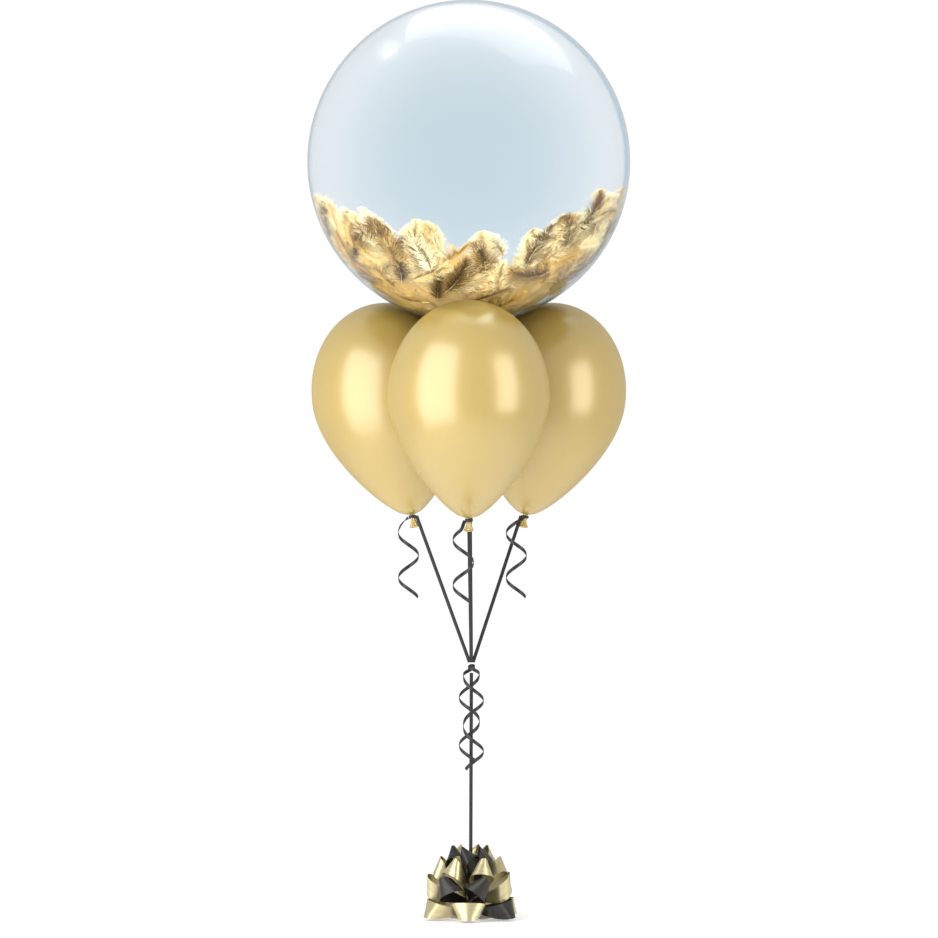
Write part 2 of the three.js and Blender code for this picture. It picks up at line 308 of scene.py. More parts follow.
# The clear balloon. A sheet of clear, very faintly blue stretched film blown up to a sphere, gathered into
# pleats at its foot, tied there, with a short frilled tail of film under the tie.
BUBBLE_RADIUS = 0.2775
BUBBLE_CENTRE = np.array([-0.003, -0.005, 1.301])
FILM_THICKNESS = 0.0004
NECK_RADIUS = 0.006
NECK_TOP = -0.3015
NECK_TIE = 0.006
FILM_TAIL = 0.034
SHOULDER = math.radians(15)
FILM_PLEATS = 13
PLEAT_DEPTH = 0.075
TAIL_FRILL = 0.10


def film_profile():
    """Radius and height of the film from its crown down: a circle to the shoulder, a cubic curve that
    gathers in to the neck, the straight neck, and a tail that flares. Heights are from the centre."""
    polar = np.linspace(0, math.pi - SHOULDER, 88)
    circle = np.stack([BUBBLE_RADIUS * np.sin(polar), BUBBLE_RADIUS * np.cos(polar)], axis=1)
    shoulder = circle[-1]
    s = np.linspace(0, 1, 30)[1:, None]
    handles = np.array([
        shoulder,
        (shoulder[0] * 0.45, shoulder[1] - shoulder[0] * 0.32),
        (NECK_RADIUS, NECK_TOP + 0.014),
        (NECK_RADIUS, NECK_TOP),
    ])
    gather = (
        (1 - s) ** 3 * handles[0] + 3 * s * (1 - s) ** 2 * handles[1]
        + 3 * s ** 2 * (1 - s) * handles[2] + s ** 3 * handles[3]
    )
    down = np.linspace(0, 1, 18)[1:, None]
    hem = NECK_TOP - FILM_TAIL
    width = NECK_RADIUS - 0.0012 * np.sin(math.pi * np.clip(down * 3, 0, 1)) + 0.0016 * down ** 2
    tail = np.concatenate([width, NECK_TOP + (hem - NECK_TOP) * down], axis=1)
    return np.concatenate([circle, gather, tail])


def film_points(columns=192):
    """The profile turned about the upright axis. Below the shoulder the radius swells and shrinks with
    the cosine of the pleats' angle, more towards the neck, and the inner wall runs back up a film's
    thickness inside."""
    profile = film_profile()
    slope = unit(np.gradient(profile, axis=0))
    inner = profile + FILM_THICKNESS * np.stack([slope[:, 1], -slope[:, 0]], axis=1)
    inner[:, 0] = np.maximum(inner[:, 0], 0)
    inner[0] = (0, BUBBLE_RADIUS - FILM_THICKNESS)
    both = np.concatenate([profile, inner[::-1]])
    turn = np.linspace(0, 2 * math.pi, columns, endpoint=False)
    foot = -BUBBLE_RADIUS * math.cos(SHOULDER)
    gathered = np.clip((foot - both[:, 1]) / (foot - NECK_TOP), 0, 1.8)[:, None]
    drop = np.clip((NECK_TOP - both[:, 1]) / FILM_TAIL, 0, 1)[:, None]
    wave = np.cos(FILM_PLEATS * turn) + 0.4 * np.cos(5 * turn + 1.0) + 0.3 * np.cos(21 * turn + 2.0)
    radius = both[:, :1] * (1 + PLEAT_DEPTH * gathered ** 1.4 * wave + TAIL_FRILL * drop * wave)
    height = np.broadcast_to(both[:, 1:], radius.shape)
    points = np.stack([radius * np.sin(turn), -radius * np.cos(turn), height], axis=-1)
    return points + BUBBLE_CENTRE


def clear_film_material():
    """Clear film: fully transmitting and faintly blue, paler where it is seen slantwise, which is a painted
    reflection of the white surround, and a deeper blue in a line at its very edge, widened on the right
    by painted shade on that side. Its soft highlights come from the coat, and light from a lamp passes
    straight through it to the feathers."""
    material, tree, shader = material_with("clear film")
    place = node(tree, "ShaderNodeTexCoord")
    waves = node(tree, "ShaderNodeTexNoise", Vector=place.outputs["Object"], Scale=9.0, Detail=1.0)
    bump = node(tree, "ShaderNodeBump", Height=waves.outputs["Fac"], Strength=0.1, Distance=0.002)
    slant = node(tree, "ShaderNodeLayerWeight", Blend=0.5)
    # Paler where it is seen slantwise: a painted reflection of the white surround, put into the film's
    # colour.
    paler = node(tree, "ShaderNodeMapRange", {"interpolation_type": "SMOOTHSTEP"},
                 Value=slant.outputs["Facing"], From_Min=-0.08, From_Max=0.52)
    body = node(tree, "ShaderNodeMix", {"data_type": "RGBA"}, i0=paler.outputs[0],
                i6=(0.745, 0.825, 0.872, 1), i7=(0.89, 0.925, 0.95, 1))
    sides = node(tree, "ShaderNodeSeparateXYZ", i0=place.outputs["Object"])
    # Painted shade on the right side: the deep blue line at the edge reaches further in there.
    painted_shade_right = node(tree, "ShaderNodeMapRange", Value=sides.outputs["X"], From_Min=-0.10, From_Max=0.25,
                   To_Min=0.0, To_Max=0.09)
    nearer = node(tree, "ShaderNodeMath", {"operation": "ADD"}, i0=slant.outputs["Facing"],
                  i1=painted_shade_right.outputs[0])
    edge = node(tree, "ShaderNodeMapRange", {"interpolation_type": "SMOOTHSTEP"},
                Value=nearer.outputs[0], From_Min=0.79, From_Max=0.87)
    tint = node(tree, "ShaderNodeMix", {"data_type": "RGBA"}, i0=edge.outputs[0], i6=body.outputs[2],
                i7=(0.45, 0.62, 0.76, 1))
    tree.links.new(tint.outputs[2], shader.inputs["Base Color"])
    tree.links.new(bump.outputs[0], shader.inputs["Normal"])
    shader.inputs["Transmission Weight"].default_value = 1.0
    shader.inputs["Metallic"].default_value = 0.0
    shader.inputs["Roughness"].default_value = 0.01
    shader.inputs["IOR"].default_value = 1.12
    shader.inputs["Coat Weight"].default_value = 1.0
    shader.inputs["Specular IOR Level"].default_value = 0.0
    shader.inputs["Coat Roughness"].default_value = 0.24
    shader.inputs["Coat IOR"].default_value = 1.22
    path = node(tree, "ShaderNodeLightPath")
    passing = node(tree, "ShaderNodeBsdfTransparent", Color=(0.96, 0.98, 0.99, 1))
    mixed = node(tree, "ShaderNodeMixShader", i0=path.outputs["Is Shadow Ray"], i1=shader.outputs[0],
                 i2=passing.outputs[0])
    tree.links.new(mixed.outputs[0], tree.nodes["Material Output"].inputs["Surface"])
    return material


film_mesh = grid_mesh("clear_bubble", film_points(), capped=False)
clear_bubble = finished("clear_bubble", film_mesh, clear_film_material(), "bubble_balloon", 60)

# The feathers sealed in the clear balloon: fluffy marabou plumes, cream with gold and brown ones among
# them. They cling to the film round its lower third in overlapping tufts, higher at the sides, and more
# of them fill the foot as packed down, with inner ones lying in its hollow top.
FEATHER_LENGTH = (0.062, 0.092)
FEATHER_HALF_WIDTH = (0.026, 0.038)
BARBS = 330
BARB_WIDTH = 0.0009
BARB_ANGLE = 68
BARB_CLOSING = 46
BARB_LIFT = 0.40
BARB_STRAY = 0.55
QUILL_RADIUS = 0.0006
FEATHER_INSET = (0.002, 0.020)
BROWN_INSET_SHARE = 0.2
INNER_RISE = 0.016
WALL_GAP = 0.0008
WALL_GIVE = 0.006
FEATHER_LOTS = {
    "cream": {"count": 58, "deep": (0.60, 0.36, 0.10), "pale": (0.92, 0.76, 0.42)},
    "pale": {"count": 58, "deep": (0.74, 0.52, 0.20), "pale": (0.97, 0.85, 0.54)},
    "gold": {"count": 50, "deep": (0.36, 0.19, 0.03), "pale": (0.74, 0.48, 0.14)},
    "brown": {"count": 26, "deep": (0.10, 0.05, 0.012), "pale": (0.28, 0.16, 0.05)},
    "inner": {"count": 58, "deep": (0.60, 0.36, 0.10), "pale": (0.92, 0.76, 0.42)},
}
TUFTS = [
    (-82, 1.243), (-63, 1.222), (-46, 1.211), (-20, 1.186), (8, 1.168), (32, 1.176), (46, 1.203), (64, 1.250),
    (84, 1.254), (106, 1.210), (127, 1.168), (147, 1.140), (168, 1.130), (189, 1.140), (210, 1.132),
    (231, 1.160), (252, 1.205),
]
TUFT_SPREAD = 12
TUFT_FALL = 0.030
TUFT_SIDE = {"cream": -3, "pale": 4}
BELOW_TUFT = 0.026
HEAP_SINK = 0.052
HEAP_MIDDLE = 1.070
HEAP_FOOT_GAP = 0.007
HEAP_WALL_GAP = 0.018
HEAP_WALL_SHARE = 0.62
BROWN_TUFTS = [(-76, 1.205), (-33, 1.145), (-19, 1.075), (7, 1.120), (13, 1.060), (31, 1.150), (44, 1.180)]
random = np.random.default_rng(11)


def lining_top(turn):
    """How high the feathers reach at an angle round from the front: the highest of the tufts there, each
    falling off with the square of the angle from its middle."""
    at = np.array([tuft[0] for tuft in TUFTS])
    height = np.array([tuft[1] for tuft in TUFTS])
    apart = (np.degrees(np.asarray(turn))[..., None] - at + 180) % 360 - 180
    return np.max(height - TUFT_FALL * (apart / TUFT_SPREAD) ** 2, axis=-1)


def frames_on(outward, turn, lie):
    """The along and across ways of feathers that lie on a surface; lie is the angle of the along way from
    level."""
    east = np.stack([np.cos(turn), np.sin(turn), np.zeros_like(turn)], axis=1)
    north = np.cross(outward, east)
    along = east * np.cos(lie)[:, None] + north * np.sin(lie)[:, None]
    return along, np.cross(outward, along)


def wall_outward(turn, height):
    """The film's outward way at an angle round from the front and a height."""
    level = height - BUBBLE_CENTRE[2]
    ring = np.sqrt(np.maximum(BUBBLE_RADIUS ** 2 - level ** 2, 1e-6))
    return unit(np.stack([ring * np.sin(turn), -ring * np.cos(turn), level], axis=1))


def bowl_place(turn, bowl):
    """A place on the hollow top of the packed down: from its rim, where bowl is 0, to its low middle,
    where bowl is 1, the height follows a quarter sine."""
    level = lining_top(turn) - HEAP_SINK - BUBBLE_CENTRE[2]
    inside = BUBBLE_RADIUS - HEAP_FOOT_GAP - HEAP_WALL_GAP
    ring = np.sqrt(np.maximum(inside ** 2 - level ** 2, 1e-6)) * (1 - bowl)
    height = level + (HEAP_MIDDLE - BUBBLE_CENTRE[2] - level) * np.sin(bowl * math.pi / 2)
    return BUBBLE_CENTRE + np.stack([ring * np.sin(turn), -ring * np.cos(turn), height], axis=-1)


def within_film(points):
    """Points that would reach past the film, or above the tufts, are pressed back softly, by the
    hyperbolic tangent of how far past they are."""
    from_centre = points - BUBBLE_CENTRE
    top = lining_top(np.arctan2(from_centre[:, 0], -from_centre[:, 1])) - BUBBLE_CENTRE[2]
    free_height = top - 0.010
    over = from_centre[:, 2] - free_height
    capped = free_height + 0.018 * np.tanh(over / 0.030)
    from_centre[:, 2] = np.where(over > 0, capped, from_centre[:, 2])
    distance = np.linalg.norm(from_centre, axis=-1, keepdims=True)
    free = BUBBLE_RADIUS - FILM_THICKNESS - WALL_GAP - WALL_GIVE
    pressed = free + WALL_GIVE * np.tanh((distance - free) / 0.008)
    return BUBBLE_CENTRE + from_centre / distance * np.where(distance > free, pressed, distance)


def plumes(centre, outward, along, across):
    """The barbs and quills of many feathers as triangles. A quill bends by the square of the place along
    it. A barb leaves it at an angle that closes towards the tip, curls by the square of the place along
    it, and is a thin three-sided spike of three stations."""
    feathers = len(centre)
    length = random.uniform(*FEATHER_LENGTH, (feathers, 1))
    half_width = random.uniform(*FEATHER_HALF_WIDTH, (feathers, 1))
    bend = random.uniform(-0.5, 0.5, (feathers, 1))
    arch = random.uniform(-0.1, 0.5, (feathers, 1))

    def on_quill(s):
        run = (s - 0.5) * length
        bow = (s - 0.5) ** 2 * length
        return (
            centre[:, None] + along[:, None] * run[..., None] + across[:, None] * (bend * bow)[..., None]
            - outward[:, None] * (arch * bow)[..., None]
        )

    s = (np.arange(BARBS) + random.uniform(0, 1, (feathers, BARBS))) / BARBS
    side = np.where(np.arange(BARBS) % 2 == 0, 1.0, -1.0) * np.ones((feathers, 1))
    angle = np.radians(BARB_ANGLE - BARB_CLOSING * s + random.normal(0, 9, s.shape))
    base = on_quill(s)
    lift = random.normal(0, BARB_LIFT, s.shape)
    start = unit(
        along[:, None] * np.cos(angle)[..., None] + across[:, None] * (side * np.sin(angle))[..., None]
        + outward[:, None] * lift[..., None]
    )
    stray = random.normal(0, BARB_STRAY, (feathers, BARBS, 3))
    finish = unit(start * 0.9 + along[:, None] * 0.45 + stray)
    span = half_width * (0.34 + 0.66 * np.sin(math.pi * s ** 0.8) ** 0.7) * random.uniform(0.7, 1.3, s.shape)
    flat = unit(np.cross(start, outward[:, None] + 0.3 * stray))
    upright = np.cross(flat, start)
    t = np.array([0.0, 0.55, 1.0])[:, None]
    spine = base[:, :, None] + span[..., None, None] * (
        start[:, :, None] * t + (finish - start)[:, :, None] * t ** 2 / 2
    )
    ring = np.radians([90, 210, 330])
    taper = BARB_WIDTH / 2 * np.array([1.0, 0.8])
    around = (
        flat[:, :, None, None] * np.cos(ring)[:, None]
        + upright[:, :, None, None] * np.sin(ring)[:, None] * 0.7
    )
    rings = spine[:, :, :2, None] + around * taper[:, None, None]
    barbs = np.concatenate([rings.reshape(feathers, BARBS, 6, 3), spine[:, :, 2:]], axis=2)
    barb_faces = [(0, 2, 1)]
    for a, b in ((0, 1), (1, 2), (2, 0)):
        barb_faces += [(a, b, 3 + b), (a, 3 + b, 3 + a), (3 + a, 3 + b, 6)]
    reach = np.array([0, 0, 0, 0.55, 0.55, 0.55, 1.0])

    steps = np.linspace(-0.12, 0.96, 9) * np.ones((feathers, 1))
    middle = on_quill(steps)
    thick = QUILL_RADIUS * (1 - 0.8 * np.linspace(0, 1, 9))[None, :, None, None]
    corner = np.radians([45, 135, 225, 315])[:, None]
    quills = middle[:, :, None] + thick * (
        across[:, None, None] * np.cos(corner) + outward[:, None, None] * np.sin(corner)
    )
    quills = quills.reshape(feathers, 36, 3)
    quill_faces = [(0, 2, 1), (0, 3, 2), (32, 33, 34), (32, 34, 35)]
    for k in range(0, 32, 4):
        for a in range(4):
            b = (a + 1) % 4
            quill_faces += [(k + a, k + b, k + 4 + b), (k + a, k + 4 + b, k + 4 + a)]

    tone = random.uniform(0, 1, (feathers, 1))
    barb_tone = np.clip(tone + random.normal(0, 0.13, s.shape), 0, 1)
    count = feathers * BARBS
    vertices = np.concatenate([barbs.reshape(-1, 3), quills.reshape(-1, 3)])
    faces = np.concatenate([
        (np.array(barb_faces)[None] + 7 * np.arange(count)[:, None, None]).reshape(-1, 3),
        (np.array(quill_faces)[None] + 36 * np.arange(feathers)[:, None, None]).reshape(-1, 3) + 7 * count,
    ])
    values = {
        "tone": np.concatenate([np.repeat(barb_tone.ravel(), 7), np.repeat(tone.ravel(), 36)]),
        "reach": np.concatenate([np.tile(reach, count), np.full(36 * feathers, -1.0)]),
    }
    return within_film(vertices), faces, values


def mottle_group():
    """A colour lightened and darkened by noise: the colour times one plus the amount times the noise
    about its mean."""
    group, given, result = group_of(
        "mottle",
        [("Vector", "NodeSocketVector"), ("Colour", "NodeSocketColor"), ("Scale", "NodeSocketFloat"),
         ("Amount", "NodeSocketFloat")],
        [("Colour", "NodeSocketColor"), ("Mask", "NodeSocketFloat")],
    )
    coarse = node(group, "ShaderNodeTexNoise", Vector=given.outputs["Vector"], Scale=given.outputs["Scale"],
                  Detail=5.0, Roughness=0.65)
    swing = node(group, "ShaderNodeMath", {"operation": "SUBTRACT"}, i0=coarse.outputs["Fac"], i1=0.5)
    sized = node(group, "ShaderNodeMath", {"operation": "MULTIPLY_ADD"}, i0=swing.outputs[0],
                 i1=given.outputs["Amount"], i2=1.0)
    tinted = node(group, "ShaderNodeVectorMath", {"operation": "SCALE"}, i0=given.outputs["Colour"],
                  Scale=sized.outputs[0])
    group.links.new(tinted.outputs[0], result.inputs["Colour"])
    group.links.new(coarse.outputs["Fac"], result.inputs["Mask"])
    return group


mottle = mottle_group()


def feather_material(name, deep, pale):
    """Down: deep at the quill and paler to the tips, each feather and barb in its own tone, with a
    straw-coloured quill."""
    material, tree, shader = material_with(name)
    tone = node(tree, "ShaderNodeAttribute", {"attribute_name": "tone"})
    reach = node(tree, "ShaderNodeAttribute", {"attribute_name": "reach"})
    place = node(tree, "ShaderNodeTexCoord")
    paler = node(tree, "ShaderNodeMath", {"operation": "MULTIPLY_ADD"}, i0=reach.outputs["Fac"], i1=0.9,
                 i2=tone.outputs["Fac"])
    by_tone = node(tree, "ShaderNodeMapRange", Value=paler.outputs[0], From_Min=0.15, From_Max=1.3)
    colour = node(tree, "ShaderNodeMix", {"data_type": "RGBA"}, i0=by_tone.outputs[0], i6=(*deep, 1),
                  i7=(*pale, 1))
    varied = use_group(tree, mottle, Vector=place.outputs["Object"], Colour=colour.outputs[2], Scale=30.0,
                       Amount=0.9)
    on_quill = node(tree, "ShaderNodeMath", {"operation": "LESS_THAN"}, i0=reach.outputs["Fac"], i1=-0.5)
    final = node(tree, "ShaderNodeMix", {"data_type": "RGBA"}, i0=on_quill.outputs[0],
                 i6=varied.outputs["Colour"], i7=(0.85, 0.68, 0.35, 1))
    tree.links.new(final.outputs[2], shader.inputs["Base Color"])
    shader.inputs["Roughness"].default_value = 0.75
    shader.inputs["Specular IOR Level"].default_value = 0.2
    return material


def spread_feathers(count):
    """Even places over the lining: the turn goes round by the golden angle, and the height goes evenly
    from the foot to the tufts, because a sphere's bands of equal height have equal areas."""
    index = np.arange(count) + random.uniform(-0.4, 0.4, count)
    turn = index * math.pi * (3 - math.sqrt(5)) + random.uniform(0, 6)
    foot = BUBBLE_CENTRE[2] - BUBBLE_RADIUS + 0.006
    share = np.clip((index + 0.5) / count, 0.01, 1) ** 0.8
    return turn, foot + (lining_top(turn) - foot - BELOW_TUFT) * share


def at_wall(turn, height, lot):
    """Feather middles a little way in from the film, and their outward ways. The brown ones are nearest
    to it."""
    outward = wall_outward(turn, height)
    inset = random.uniform(*FEATHER_INSET, (len(turn), 1)) * (BROWN_INSET_SHARE if lot == "brown" else 1.0)
    return BUBBLE_CENTRE + outward * (BUBBLE_RADIUS - inset), outward


def in_bowl(turn):
    """Feather middles over the packed down's hollow top, from its rim to its middle, and the ways that
    face up out of it."""
    bowl = np.linspace(0.0, 0.97, len(turn)) ** 0.7
    centre = bowl_place(turn, bowl)
    inward = bowl_place(turn, bowl + 0.02) - centre
    sideways = np.stack([np.cos(turn), np.sin(turn), np.zeros_like(turn)], axis=1)
    outward = unit(np.cross(inward, sideways))
    outward *= np.sign(outward[:, 2:])
    return centre + outward * INNER_RISE, outward


for lot, feather in FEATHER_LOTS.items():
    turn, height = spread_feathers(feather["count"])
    if lot == "brown":
        turn[:len(BROWN_TUFTS)] = np.radians([spot[0] for spot in BROWN_TUFTS])
        height[:len(BROWN_TUFTS)] = [spot[1] for spot in BROWN_TUFTS]
    if lot in TUFT_SIDE:
        turn[:len(TUFTS)] = np.radians([tuft[0] + TUFT_SIDE[lot] for tuft in TUFTS])
        height[:len(TUFTS)] = lining_top(turn[:len(TUFTS)]) - BELOW_TUFT
    lie = random.normal(math.pi / 2, 0.8, len(turn))
    centre, outward = in_bowl(turn) if lot == "inner" else at_wall(turn, height, lot)
    along, across = frames_on(outward, turn, lie)
    vertices, faces, values = plumes(centre, outward, along, across)
    mesh = bpy.data.meshes.new(f"{lot}_feathers")
    mesh.from_pydata(vertices, [], faces)
    for label, value in values.items():
        mesh.attributes.new(label, "FLOAT", "POINT").data.foreach_set("value", value)
    finished(f"{lot}_feathers", mesh, feather_material(f"{lot} feather", feather["deep"], feather["pale"]),
             sharp=180)


def heap_points(rows=70, columns=128):
    """The down packed inside the plumes: from the foot it follows the film, further in from it towards
    the rim, and its top is a bowl; every point is pushed in and out by sums of sines."""
    turn = np.linspace(0, 2 * math.pi, columns, endpoint=False)
    rim = lining_top(turn) - HEAP_SINK
    level = rim - BUBBLE_CENTRE[2]
    share = np.linspace(0, 1, rows)[:, None]
    wall = np.clip(share / HEAP_WALL_SHARE, 0, 1)
    inside = BUBBLE_RADIUS - HEAP_FOOT_GAP - HEAP_WALL_GAP * wall ** 2
    rim_polar = np.arccos(np.clip(-level / inside, -1, 1))
    polar = wall * rim_polar
    bowl = np.clip((share - HEAP_WALL_SHARE) / (1 - HEAP_WALL_SHARE), 0, 1)
    ring = inside * np.sin(polar) * (1 - bowl)
    sunk = level + (HEAP_MIDDLE - BUBBLE_CENTRE[2] - level) * np.sin(bowl * math.pi / 2)
    height = np.where(share <= HEAP_WALL_SHARE, -inside * np.cos(polar), sunk)
    lumps = (
        np.sin(9 * turn + 21 * share) * np.sin(17 * share + 1) + 0.6 * np.sin(23 * turn - 31 * share)
        + 0.4 * np.sin(41 * turn + 67 * share)
    ) * np.sin(math.pi * share)
    ring = ring * (1 + 0.024 * lumps)
    return BUBBLE_CENTRE + np.stack([
        ring * np.sin(turn), -ring * np.cos(turn), height + 0.004 * lumps
    ], axis=-1)


heap_mesh = grid_mesh("packed_down", heap_points(), capped=False)
# The packed down stands for the down inside; its low, even tone keeps it mostly a deep ochre, painted shade
# that shows in the gaps between the plumes.
heap_shade_tone = np.full(len(heap_mesh.vertices), 0.4)
heap_mesh.attributes.new("tone", "FLOAT", "POINT").data.foreach_set("value", heap_shade_tone)
heap_down_painted_shade = feather_material("packed down", (0.42, 0.25, 0.07), (0.86, 0.68, 0.36))
heap = finished("packed_down", heap_mesh, heap_down_painted_shade, sharp=180)

# The gold balloons. Pearl-gold latex, each blown to a pear, its neck twisted and tied, with the rolled lip
# of the neck hanging under the tie. The three lean out round the middle and carry the clear balloon.
GOLD_RADIUS = 0.1365
GOLD_TOP = 0.163
GOLD_BODY = 0.210
GOLD_PINCH = 0.41
GOLD_PINCH_POWER = 1.67
GOLD_NECK_RADIUS = 0.004
GOLD_NECK_LENGTH = 0.023
GOLD_TIE_DROP = 0.0045
GOLD_SKIRT = 0.009
GOLD_SKIRT_FLARE = 0.0030
LIP_RADIUS = 0.0068
LIP_BEAD = 0.0012
GOLD_LEAN = math.radians(12)
CLUSTER_RADIUS = 0.1568
CLUSTER_MIDDLE = (-0.003, 0, 0.900)
GOLD_BALLOONS = {"front": (-90, 0.004), "left": (150, 0.0), "right": (30, 0.0)}


def gold_profile():
    """Radius and height from the crown: half an ellipse, then a half ellipse pinched towards the neck,
    joined to the neck by the fourth root of the sum of fourth powers, then the skirt and its rolled lip."""
    up = np.linspace(math.pi / 2, 0, 44)[:-1]
    crown = np.stack([GOLD_RADIUS * np.cos(up), GOLD_TOP * np.sin(up)], axis=1)
    crown[0, 0] = 0
    u = np.sin(np.linspace(0, math.pi / 2, 76))
    body = GOLD_RADIUS * np.sqrt(1 - u ** 2) * (1 - GOLD_PINCH * u ** GOLD_PINCH_POWER)
    body = (body ** 4 + GOLD_NECK_RADIUS ** 4) ** 0.25
    below = np.stack([body, -GOLD_BODY * u], axis=1)
    lip = -GOLD_BODY - GOLD_NECK_LENGTH
    s = np.linspace(0, 1, 16)[1:]
    skirt_top = -GOLD_BODY - GOLD_SKIRT
    skirt = np.stack([
        GOLD_NECK_RADIUS + GOLD_SKIRT_FLARE * s ** 1.3,
        skirt_top + (lip + 0.0030 - skirt_top) * s,
    ], axis=1)
    roll = np.linspace(math.radians(110), math.radians(-160), 16)
    bead = np.stack([LIP_RADIUS + LIP_BEAD * np.cos(roll), lip + LIP_BEAD + LIP_BEAD * np.sin(roll)], axis=1)
    hollow = np.array([(0.0048, lip + 0.003), (0.0030, lip + 0.008), (0.0, lip + 0.009)])
    return np.concatenate([crown, below, [(GOLD_NECK_RADIUS, skirt_top)], skirt, bead, hollow])


def gold_place(turn, drop):
    """The place of a gold balloon: its widest circle's middle out from the cluster's, leaning outwards."""
    return (
        Matrix.Translation((CLUSTER_MIDDLE[0], CLUSTER_MIDDLE[1], CLUSTER_MIDDLE[2] - drop))
        @ Matrix.Rotation(math.radians(turn), 4, "Z")
        @ Matrix.Translation((CLUSTER_RADIUS, 0, 0))
        @ Matrix.Rotation(GOLD_LEAN, 4, "Y")
    )


def placed(points, matrix):
    """The points turned and moved by a 4 by 4 matrix."""
    whole = np.array(matrix)
    return points @ whole[:3, :3].T + whole[:3, 3]


def gold_points(columns=128):
    """The profile turned about its axis, with the neck's twisted creases: seven waves round it that turn
    with the height."""
    profile = gold_profile()
    turn = np.linspace(0, 2 * math.pi, columns, endpoint=False)
    height = profile[:, 1:]
    creased = np.clip((-GOLD_BODY + 0.012 - height) / 0.012, 0, 1)
    wave = np.sin(7 * turn + height * 160) + 0.4 * np.sin(13 * turn - height * 240)
    radius = profile[:, :1] * (1 + 0.07 * creased * wave)
    return np.stack([
        radius * np.cos(turn), radius * np.sin(turn), np.broadcast_to(height, radius.shape)
    ], axis=-1)


def gold_latex_material():
    """Pearl latex: a satin gold with fine flakes that break up its gloss, slightly deeper in patches,
    under a clear gloss that fades out where it is seen slantwise."""
    material, tree, shader = material_with("gold latex")
    place = node(tree, "ShaderNodeTexCoord")
    varied = use_group(tree, mottle, Vector=place.outputs["Object"], Colour=(0.49, 0.35, 0.09, 1), Scale=7.0,
                       Amount=0.16)
    flakes = node(tree, "ShaderNodeTexNoise", Vector=place.outputs["Object"], Scale=900.0, Detail=2.0)
    grain = node(tree, "ShaderNodeMapRange", Value=flakes.outputs["Fac"], From_Min=0.3, From_Max=0.7,
                 To_Min=0.30, To_Max=0.42)
    tree.links.new(varied.outputs["Colour"], shader.inputs["Base Color"])
    tree.links.new(grain.outputs[0], shader.inputs["Roughness"])
    bump = node(tree, "ShaderNodeBump", Height=flakes.outputs["Fac"], Strength=0.08, Distance=0.0003)
    tree.links.new(bump.outputs[0], shader.inputs["Normal"])
    slant = node(tree, "ShaderNodeLayerWeight", Blend=0.5)
    gloss = node(tree, "ShaderNodeMapRange", Value=slant.outputs["Facing"], From_Min=0.45, From_Max=0.9,
                 To_Min=1.0, To_Max=0.1)
    tree.links.new(gloss.outputs[0], shader.inputs["Coat Weight"])
    shader.inputs["Metallic"].default_value = 0.14
    shader.inputs["Specular IOR Level"].default_value = 0.35
    shader.inputs["Specular Tint"].default_value = (1.0, 0.86, 0.55, 1)
    shader.inputs["Coat Roughness"].default_value = 0.26
    shader.inputs["Coat IOR"].default_value = 1.95
    return material


gold_latex = gold_latex_material()
for side, (turn, drop) in GOLD_BALLOONS.items():
    mesh = grid_mesh(f"gold_latex_{side}", placed(gold_points(), gold_place(turn, drop)), capped=False)
    finished(f"gold_latex_{side}", mesh, gold_latex, f"gold_balloon_{side}", 50)

# The taut ribbons. One black curling ribbon is wound round each neck and drawn down to the knot, and one
# long ribbon goes on from the knot to the bow's base. Each strand shows its flat side to the front.
WIND_TURNS = 2.6
WIND_RADIUS = (0.0047, 0.0072)
KNOT_REACH = 0.0094
BOW_TOP = 0.0028
BUBBLE_TIE = BUBBLE_CENTRE + (0, 0, NECK_TOP - NECK_TIE / 2)
STRAND_OUT = 0.008
WOUND_WIDTH = 0.8 * RIBBON_WIDTH
WOUND_ROCK = 0.0007


def wound(place, turns, radii):
    """A flat strip wound round a neck in a flat spiral: the radius grows evenly with the angle, and the
    turns rock a little up and down."""
    angle = np.linspace(0, 2 * math.pi * turns, int(26 * turns))
    radius = np.linspace(*radii, len(angle))
    path = np.stack([
        radius * np.cos(angle), radius * np.sin(angle), WOUND_ROCK * np.sin(angle + 1)
    ], axis=1)
    outward = np.stack([np.cos(angle), np.sin(angle), np.zeros_like(angle)], axis=1)
    grid = strip_points(path, outward, WOUND_WIDTH, RIBBON_THICKNESS)
    return placed(grid, place), strip_uv(path)


def straight(start, end):
    """A straight strip with its flat side to the front, and its points every few millimetres."""
    path = np.linspace(start, end, 40)
    outward = np.broadcast_to((0.0, -1.0, 0.0), path.shape)
    return strip_points(path, outward, RIBBON_WIDTH, RIBBON_THICKNESS, RIBBON_CROWN), strip_uv(path)


def together(name, grids):
    """One mesh of several closed strips."""
    whole = bmesh.new()
    for points, uv in grids:
        part = grid_mesh(name, points, uv)
        whole.from_mesh(part)
        bpy.data.meshes.remove(part)
    mesh = bpy.data.meshes.new(name)
    whole.to_mesh(mesh)
    whole.free()
    return mesh


def to_knot(start):
    """Where a strand from a place meets the knot."""
    knot = np.array(KNOT_PLACE)
    way = start - knot
    return knot + way / np.linalg.norm(way) * KNOT_REACH


for side, (turn, drop) in GOLD_BALLOONS.items():
    tie = gold_place(turn, drop) @ Matrix.Translation((0, 0, -GOLD_BODY - GOLD_TIE_DROP))
    start = placed(np.array([-STRAND_OUT, 0, 0]), tie)
    strips = [wound(tie, WIND_TURNS, WIND_RADIUS), straight(start, to_knot(start))]
    mesh = together(f"black_ribbon_{side}", strips)
    finished(f"black_ribbon_{side}", mesh, curling_ribbon, f"ribbon_{side}")

